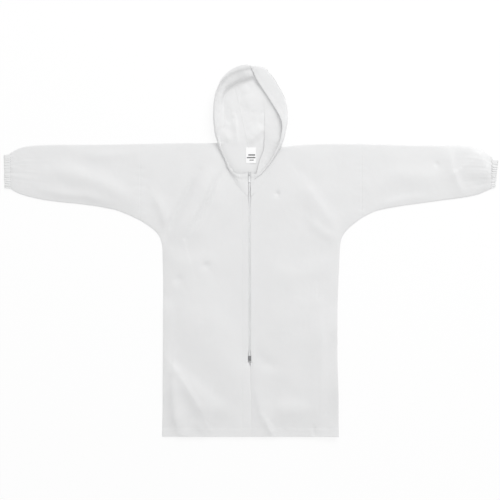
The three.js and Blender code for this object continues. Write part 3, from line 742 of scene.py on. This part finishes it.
def hood_section(place, columns):
    """Points from the neck seam to the face edge, evenly spaced."""
    row = smooth_rows(np.column_stack([HOOD, neck_z]), np.array([place]))[0]
    neck = np.array([row[0], row[1], row[12]])
    crease, widest, face = row[3:6], row[6:9], row[9:12]
    widest, face = (point * (1 - shrink(point), 1 - shrink(point), 1) for point in (widest, face))
    crease = np.maximum(crease, (-1e3, -1e3, 0))
    before = crease + (neck - crease) * min(0.4, 14 / np.linalg.norm(neck - crease))
    steep = np.interp(place, (5, 6.5, 9.5, 10.5), (0, 1, 1, 0))
    # Where the hood stands up, it rises from its crease at once.
    after = crease + (widest - crease) * (0.4 - 0.18 * steep, 0.4 - 0.18 * steep, 0.38 + 0.1 * steep)
    over = widest + (face - widest) * (0.36, 0.36, 0.76)
    line = curve_through(np.array([neck, before, crease, after, widest, over, face]), 180)
    line[:, 2] = np.maximum(line[:, 2], 0)
    lengths = np.concatenate([[0], np.cumsum(np.linalg.norm(np.diff(line, axis=0), axis=1))])
    even = np.linspace(0, lengths[-1], columns)
    return np.column_stack([np.interp(even, lengths, line[:, k]) for k in range(3)]) * MM


def grid_normals(points):
    """Unit normals of a grid of points."""
    normals = np.cross(np.gradient(points, axis=0), np.gradient(points, axis=1))
    return normals / np.maximum(np.linalg.norm(normals, axis=2, keepdims=True), 1e-12)


hood_rims = {}
for side, first, last in (("right", 0, CROWN), ("left", CROWN, len(HOOD) - 1)):
    rows = (last - first) * HOOD_ROWS + 1
    places = np.linspace(first, last, rows)
    points = np.array([hood_section(place, HOOD_COLUMNS) for place in places])
    outward = -grid_normals(points)
    x, y, z = (points[..., k].ravel() for k in range(3))
    shape = points.shape[:2]
    spacing = np.linalg.norm(np.diff(points, axis=1), axis=2)
    from_neck = np.concatenate([np.zeros((rows, 1)), np.cumsum(spacing, axis=1)], axis=1)
    from_rim = from_neck[:, -1:] - from_neck
    lying = np.exp(-(points[..., 2] / (7 * MM)) ** 2)
    raised_by = fold_height(HOOD_FOLDS, x, y).reshape(shape) * (1 - np.exp(-from_neck / (9 * MM)))
    soft = (wander(x + z, y, 46 * MM, 41.5) * 1.5 + wander(x, y + z, 19 * MM, 43.5) * 0.45).reshape(shape) * MM
    ends = 1 - np.exp(-from_neck / (16 * MM))
    points[..., 2] += (raised_by + np.abs(soft) * 0.8) * lying * ends
    # Where two layers lie close together, they only swell apart.
    points += outward * (np.maximum(soft + 0.7 * MM, 0) * ends * (1 - lying))[..., None]
    # The face edge waves a little, and the hem's stitches draw it in.
    wave = np.array([noise.noise(Vector((p * 1.9, 3.1, 0))) for p in places])
    wave += 0.5 * np.array([noise.noise(Vector((p * 6, 9, 0))) for p in places])
    points += outward * (2.2 * MM * wave[:, None] * np.exp(-from_rim / (22 * MM)))[..., None]
    pull = np.array([noise.noise(Vector((p * 13, 17, 0))) for p in places])[:, None]
    near_stitches = np.exp(-(((from_rim - HEM_WIDTH + 2 * MM) / (4 * MM)) ** 2))
    points -= outward * ((0.35 + 0.7 * pull) * MM * near_stitches)[..., None]
    # The neck edge is tucked under the fronts and over the back.
    step = points[:, 0] - points[:, 1]
    step[:, 2] = 0
    step /= np.linalg.norm(step, axis=1, keepdims=True)
    over_fronts = np.interp(places, np.arange(len(HOOD)), HOOD[:, 2])
    points[:, 0] += step * 1.6 * MM
    points[:, 0, 2] += (0.12 - 0.7 * over_fronts) * MM
    # The crown seam is a narrow valley outside.
    seam_row = -1 if side == "right" else 0
    from_seam = np.linalg.norm(points - points[[seam_row]], axis=2)
    points -= outward * (0.35 * MM * np.exp(-((from_seam / (2 * MM)) ** 2)))[..., None]
    points[..., 2] = np.maximum(points[..., 2], 0)
    outward = -grid_normals(points)
    # The hem turns over the edge and runs back down the inside.
    turned = [points]
    edge, below = points[:, -1], points[:, -2]
    up = edge - below
    up /= np.linalg.norm(up, axis=1, keepdims=True)
    inward = -outward[:, -1]
    for angle in (45, 90, 135, 180):
        a = math.radians(angle)
        turned.append((edge + up * 0.55 * MM * math.sin(a) + inward * 0.55 * MM * (1 - math.cos(a)))[:, None])
    depth = np.linspace(0, HEM_WIDTH, HEM_COLUMNS + 1)[1:]
    under_layer = points - 1.1 * MM * outward
    hem = np.empty((rows, HEM_COLUMNS, 3))
    for i in range(rows):
        for k in range(3):
            hem[i, :, k] = np.interp(depth, from_rim[i, ::-1], under_layer[i, ::-1, k])
    turned.append(hem)
    whole = np.concatenate(turned, axis=1)
    columns = whole.shape[1]
    half = bmesh.new()
    bmesh.ops.create_grid(half, x_segments=rows - 1, y_segments=columns - 1, size=0.5)
    for v in half.verts:
        v.co = whole[round((v.co.x + 0.5) * (rows - 1)), round((v.co.y + 0.5) * (columns - 1))]
    bmesh.ops.recalc_face_normals(half, faces=half.faces)
    half_area = sum(f.calc_area() for f in half.faces)
    # One face far from the folds tells whether the normals came out inwards.
    i, j = rows // 2, HOOD_COLUMNS - 8
    probe = min(half.faces, key=lambda f: (f.calc_center_median() - Vector(points[i, j])).length)
    flip = probe.normal.dot(Vector(outward[i, j])) < 0
    piece = as_piece(half, f"hood_panel_{side}", rain_cloth, CLOTH, flip=flip)
    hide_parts(f"hood_{side}", f"hood_back_{side}")
    hood_rims[side] = (points, outward, from_rim)

# Stitching
# Rows of lockstitch in white polyester thread hold the hems, the facing beside the zip, the zip's tapes,
# the elastic casings and the hood's hem.
PITCH = 3.1 * MM
STITCH = Matrix.Diagonal((1.15 * MM, 0.26 * MM, 0.22 * MM, 1))
thread = bpy.data.materials.new("white_thread")
thread.use_nodes = True
spun = thread.node_tree.nodes["Principled BSDF"]
spun.inputs["Base Color"].default_value = (0.8, 0.8, 0.8, 1)
spun.inputs["Roughness"].default_value = 0.6
spun.inputs["Sheen Weight"].default_value = 0.2
weave = thread.node_tree.nodes.new("ShaderNodeTexWave")
weave.inputs["Scale"].default_value = 900
twist = thread.node_tree.nodes.new("ShaderNodeBump")
twist.inputs["Distance"].default_value = 0.05 * MM
place = thread.node_tree.nodes.new("ShaderNodeTexCoord")
thread.node_tree.links.new(place.outputs["Object"], weave.inputs["Vector"])
thread.node_tree.links.new(weave.outputs["Fac"], twist.inputs["Height"])
thread.node_tree.links.new(twist.outputs["Normal"], spun.inputs["Normal"])


def sew(stitching, line):
    """A row of stitches along a line of points."""
    line = np.asarray(line)
    lengths = np.concatenate([[0], np.cumsum(np.linalg.norm(np.diff(line, axis=0), axis=1))])
    for reach in np.arange(PITCH, lengths[-1] - PITCH / 2, PITCH):
        ends = (reach, reach + 0.5 * MM)
        here, ahead = (Vector([np.interp(end, lengths, line[:, k]) for k in range(3)]) for end in ends)
        turn = (ahead - here).to_track_quat("X", "Z").to_matrix().to_4x4()
        matrix = Matrix.Translation(here) @ turn @ STITCH
        bmesh.ops.create_icosphere(stitching, subdivisions=1, radius=1, matrix=matrix)


def on_front(xs, ys):
    """Points just above the upper cloth."""
    xs, ys = np.broadcast_arrays(xs, ys)
    xs, ys = xs.astype(float), ys.astype(float)
    return np.column_stack([xs, ys, front_top(xs, ys) + 0.02 * MM])


body_stitches = bmesh.new()
hem_line = HEM_Y + HEM_DEPTH
for first, last in ((-296, -3), (1, 294)):
    sew(body_stitches, on_front(np.arange(first, last, 3) * MM, hem_line))
    xs = np.arange(first, last, 6) * MM
    ys = np.full(len(xs), hem_line)
    sew(body_stitches, np.column_stack([xs, ys, back_bottom(xs, ys) - 0.02 * MM]))
sew(body_stitches, on_front(ZIP_X - FACING, np.arange(-606, 190, 4) * MM))
for sign in (-1, 1):
    ys = np.arange(-356, 176, 4) * MM
    sew(body_stitches, on_front(ZIP_X + sign * 6.6 * MM, ys))
for row in cuff_rows:
    sew(body_stitches, row)
stitches = as_piece(body_stitches, "body_stitches", thread)

hood_stitches = bmesh.new()
for side, (points, outward, from_rim) in hood_rims.items():
    line, way = np.empty((2, len(points), 3))
    for i in range(len(points)):
        for k in range(3):
            line[i, k] = np.interp(HEM_WIDTH - 2 * MM, from_rim[i, ::-1], points[i, ::-1, k])
            way[i, k] = np.interp(HEM_WIDTH - 2 * MM, from_rim[i, ::-1], outward[i, ::-1, k])
    sew(hood_stitches, line + way * 0.03 * MM)
    sew(hood_stitches, line - way * 1.53 * MM)
stitches = as_piece(hood_stitches, "hood_stitches", thread)

# Zip
# A white closed-end nylon coil zip on woven tapes, sewn under the fronts' edges. Its coils are interlocked
# all the way, and its slider stands at the top.
COIL_PITCH = 1.5 * MM
PLATE = 1.1 * MM  # thickness of the slider's plates


def plain_material(name, colour, roughness, metallic=0.0, coat=0.0):
    """A hard material of one colour, with a gloss that varies a little."""
    material = bpy.data.materials.new(name)
    material.use_nodes = True
    tree = material.node_tree
    surface = tree.nodes["Principled BSDF"]
    surface.inputs["Base Color"].default_value = (*colour, 1)
    surface.inputs["Metallic"].default_value = metallic
    surface.inputs["Coat Weight"].default_value = coat
    place = tree.nodes.new("ShaderNodeTexCoord")
    scuff = tree.nodes.new("ShaderNodeTexNoise")
    scuff.inputs["Scale"].default_value = 900
    gloss = tree.nodes.new("ShaderNodeMapRange")
    gloss.inputs["To Min"].default_value = roughness - 0.08
    gloss.inputs["To Max"].default_value = roughness + 0.08
    tree.links.new(place.outputs["Object"], scuff.inputs["Vector"])
    tree.links.new(scuff.outputs["Fac"], gloss.inputs["Value"])
    tree.links.new(gloss.outputs["Result"], surface.inputs["Roughness"])
    return material


def block(solid, middle, size, turn=Matrix()):
    """Adds a box of this size and gives its vertices."""
    matrix = Matrix.Translation(middle) @ turn @ Matrix.Diagonal((*size, 1))
    return bmesh.ops.create_cube(solid, size=1, matrix=matrix)["verts"]


def rounded(solid, edges, radius, segments):
    """Rounds edges over."""
    bmesh.ops.bevel(
        solid, geom=edges, offset=radius, segments=segments, affect="EDGES", profile=0.5, material=-1
    )


nylon = plain_material("white_nylon", (0.95, 0.955, 0.96), 0.35)
tape_cloth = cloth_material("zip_tape_cloth", (0.86, 0.86, 0.865), (0.9, 0.9, 0.905), 0.7, 60, 2600, 0.2 * MM)
for side, sign in (("right", -1), ("left", 1)):
    low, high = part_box(f"zip_tape_{side}")
    tape = bmesh.new()
    bmesh.ops.create_grid(tape, x_segments=6, y_segments=160, size=0.5)
    for v in tape.verts:
        share = v.co.x + 0.5 if sign > 0 else 0.5 - v.co.x
        x = ZIP_X + sign * (0.25 + 14.65 * share) * MM
        y = low.y + (high.y - low.y) * (v.co.y + 0.5)
        sag = 0.15 * MM * noise.noise(Vector((x * 60, y * 22, 2)))
        v.co = (x, y, low.z + 0.3 * MM + sag)
    piece = as_piece(tape, f"tape_{side}", tape_cloth, 0.45 * MM)
    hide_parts(f"zip_tape_{side}")

low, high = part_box("zip_chain")
coil = bmesh.new()
for k in range(int((high.y - low.y) / COIL_PITCH * 2)):
    sign = 1 if k % 2 else -1
    y = low.y + (k + 0.7) * COIL_PITCH / 2
    middle = (ZIP_X + sign * 0.95 * MM, y, (low.z + high.z) / 2 + 0.1 * MM)
    turn = Matrix.Rotation(sign * math.radians(7), 4, "Z")
    block(coil, middle, (3.2 * MM, 0.98 * MM, 1.7 * MM), turn)
rounded(coil, coil.edges[:], 0.24 * MM, 1)
piece = as_piece(coil, "coil", nylon)
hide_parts("zip_chain")

# The slider is an enamelled casting: two plates round the coil, and a bridge that holds the tab.
# The slider and the stops share one grey that is partly painted shade: light enamel darkened to the tone it shows
# in the shade on and round the slider.
grey_enamel_and_painted_shade = plain_material("grey_enamel_with_painted_shade", (0.62, 0.625, 0.63), 0.3, coat=0.4)
dark_metal = plain_material("dark_metal", (0.26, 0.262, 0.268), 0.36, metallic=0.4)
low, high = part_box("zip_slider")
slider = bmesh.new()
for z in (low.z + PLATE / 2, low.z + 3.7 * MM + PLATE / 2):
    verts = block(slider, (ZIP_X, (low.y + high.y) / 2, z), (high.x - low.x, high.y - low.y, PLATE))
    lower_end = [v for v in verts if v.co.y < (low.y + high.y) / 2]
    bmesh.ops.scale(slider, verts=lower_end, vec=(0.74, 1, 1), space=Matrix.Translation((-ZIP_X, 0, 0)))
rims = [e for e in slider.edges if abs(e.verts[0].co.z - e.verts[1].co.z) > 0.5 * MM]
rounded(slider, rims, 1.8 * MM, 4)
block(slider, (ZIP_X, high.y - 3 * MM, low.z + 2.4 * MM), (2 * MM, 4 * MM, 4.4 * MM))
for sign in (-1, 1):
    middle = (ZIP_X + sign * 3.55 * MM, low.y + 5.5 * MM, low.z + 3.3 * MM)
    lean = Matrix.Rotation(sign * math.radians(-8), 4, "Z")
    block(slider, middle, (0.7 * MM, 8.5 * MM, 1.2 * MM), lean)
sharp = [e for e in slider.edges if e.is_manifold and e.calc_face_angle(0) > 0.9]
rounded(slider, sharp, 0.22 * MM, 2)
# The bridge is a strap bent into an arch.
axle_y = low.y + 5.5 * MM
axle = Vector((ZIP_X, axle_y, low.z + 4.6 * MM))
foot = Matrix.Translation((ZIP_X, axle_y - 3.3 * MM, axle.z)) @ Matrix.Diagonal((2 * MM, 1 * MM, 1, 1))
start = bmesh.ops.create_grid(slider, x_segments=1, y_segments=1, size=0.5, matrix=foot)
strap = list({g for v in start["verts"] for g in (v, *v.link_edges, *v.link_faces)})
bmesh.ops.spin(slider, geom=strap, cent=axle, axis=(-1, 0, 0), angle=math.pi, steps=14, use_duplicate=False)
bmesh.ops.recalc_face_normals(slider, faces=slider.faces)
piece = as_piece(slider, "slider", grey_enamel_and_painted_shade)
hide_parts("zip_slider")

# The stops take the slider's grey, with its painted shade.
for side in ("right", "left"):
    low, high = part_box(f"zip_stop_{side}")
    stop = bmesh.new()
    block(stop, (low + high) / 2, high - low)
    rounded(stop, stop.edges[:], 0.35 * MM, 2)
    piece = as_piece(stop, f"stop_{side}", grey_enamel_and_painted_shade)
    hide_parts(f"zip_stop_{side}")

# The box that joins the tapes' lower ends is moulded round them, with a slot across it.
low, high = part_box("zip_box")
box = bmesh.new()
block(box, (low + high) / 2, high - low)
for y in (low.y + 3 * MM, low.y + 4.2 * MM, high.y - 3 * MM, high.y - 2 * MM):
    bmesh.ops.bisect_plane(box, geom=[*box.faces, *box.edges, *box.verts], plane_co=(0, y, 0), plane_no=(0, 1, 0))
slot_lines = (low.y + 3.6 * MM, high.y - 2.5 * MM)
slots = [
    f for f in box.faces
    if f.normal.z > 0.9 and min(abs(f.calc_center_median().y - line) for line in slot_lines) < 0.3 * MM
]
bmesh.ops.inset_individual(box, faces=slots, thickness=0.22 * MM, depth=-0.5 * MM)
outer = [e for e in box.edges if e.is_manifold and e.calc_face_angle(0) > 1 and e.calc_face_angle_signed(0) > 0]
rounded(box, outer, 0.5 * MM, 3)
piece = as_piece(box, "box", dark_metal)
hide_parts("zip_box")

# Pull tab
# A flat stamped metal tab with a rim round a shallow recess. Its eye goes round the slider's bridge, and it
# hangs down over the coil.
low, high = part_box("pull_tab")
# The tab's lines, in millimetres: x across it, y down from its top, and its width at each y as a share of
# the widest.
PULL_X = (-3.5, -2.4, -1.6, 1.6, 2.4, 3.5)
PULL_Y = (0, -1, -5.6, -7, -8.2, -24.4, -26)
PULL_WIDTH = (0.78, 0.86, 0.82, 0.86, 0.96, 1, 0.86)
tab = bmesh.new()
bmesh.ops.create_grid(tab, x_segments=len(PULL_X) - 1, y_segments=len(PULL_Y) - 1, size=0.5)
for v in tab.verts:
    i = round((v.co.x + 0.5) * (len(PULL_X) - 1))
    j = round((0.5 - v.co.y) * (len(PULL_Y) - 1))
    v.co = (ZIP_X + PULL_X[i] * PULL_WIDTH[j] * MM, high.y + (PULL_Y[j] - 0.02) * MM, high.z)


def between(faces, half_width, lowest, highest):
    """The faces whose middles lie this near to the tab's middle line and between two places below its top."""
    middles = [(f, f.calc_center_median() - Vector((ZIP_X, high.y, 0))) for f in faces]
    return [f for f, at in middles if abs(at.x) < half_width * MM and lowest * MM < at.y < highest * MM]


bmesh.ops.delete(tab, geom=between(tab.faces, 1, -5, -1.5), context="FACES")
recess = between(tab.faces, 2.3, -24, -9)
bmesh.ops.recalc_face_normals(tab, faces=tab.faces)
if tab.faces[:][0].normal.z < 0:
    bmesh.ops.reverse_faces(tab, faces=tab.faces[:])
lower = bmesh.ops.extrude_face_region(tab, geom=tab.faces[:])
moved = [g for g in lower["geom"] if isinstance(g, bmesh.types.BMVert)]
bmesh.ops.translate(tab, verts=moved, vec=(0, 0, low.z - high.z))
bmesh.ops.recalc_face_normals(tab, faces=tab.faces)
bmesh.ops.inset_region(tab, faces=recess, thickness=0.35 * MM, depth=-0.25 * MM)
rounded(tab, [e for e in tab.edges if e.is_manifold and e.calc_face_angle(0) > 1], 0.2 * MM, 2)
white_enamel = plain_material("white_enamel", (0.84, 0.845, 0.85), 0.3, coat=0.4)
piece = as_piece(tab, "tab", white_enamel, body="pull")
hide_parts("pull_tab")

# Label
# A loop of white woven satin ribbon, sewn into the neck seam and left bare but for three plain woven bars.
satin = cloth_material("white_satin", (0.96, 0.96, 0.96), (0.99, 0.99, 0.99), 0.4, 40, 2200, 0.1 * MM, 0.02)
low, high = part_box("neck_label")
# The bars' middle heights, left and right ends and widths, in millimetres.
BARS = ((323, -9, 14, 4.6), (314, -14, 15, 4.2), (305.5, -5, 9, 3))


def label_z(x, y):
    """Height of the ribbon, which curls up towards its free end."""
    share = (high.y - y) / (high.y - low.y)
    curl = 1.2 * share**3 * (0.6 + 0.4 * math.sin(x * 160))
    return (1 + curl + 0.3 * math.sin(share * 5)) * MM


ribbon = bmesh.new()
bmesh.ops.create_grid(ribbon, x_segments=18, y_segments=30, size=0.5)
for v in ribbon.verts:
    x = low.x + (high.x - low.x) * (v.co.x + 0.5)
    y = low.y + (high.y - low.y) * (v.co.y + 0.5)
    v.co = (x, y, label_z(x, y))
piece = as_piece(ribbon, "label_ribbon", satin, 0.3 * MM)
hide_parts("neck_label")
ink = plain_material("grey_yarn", (0.16, 0.16, 0.165), 0.6)
bars = bmesh.new()
for y, left, right, tall in BARS:
    made = bmesh.ops.create_grid(bars, x_segments=12, y_segments=2, size=0.5)
    for v in made["verts"]:
        x = ((left + right) / 2 + (right - left) * v.co.x) * MM
        v.co = (x, (y + tall * v.co.y) * MM, 0)
        v.co.z = label_z(v.co.x, v.co.y) + 0.06 * MM
piece = as_piece(bars, "label_bars", ink)

low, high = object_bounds()
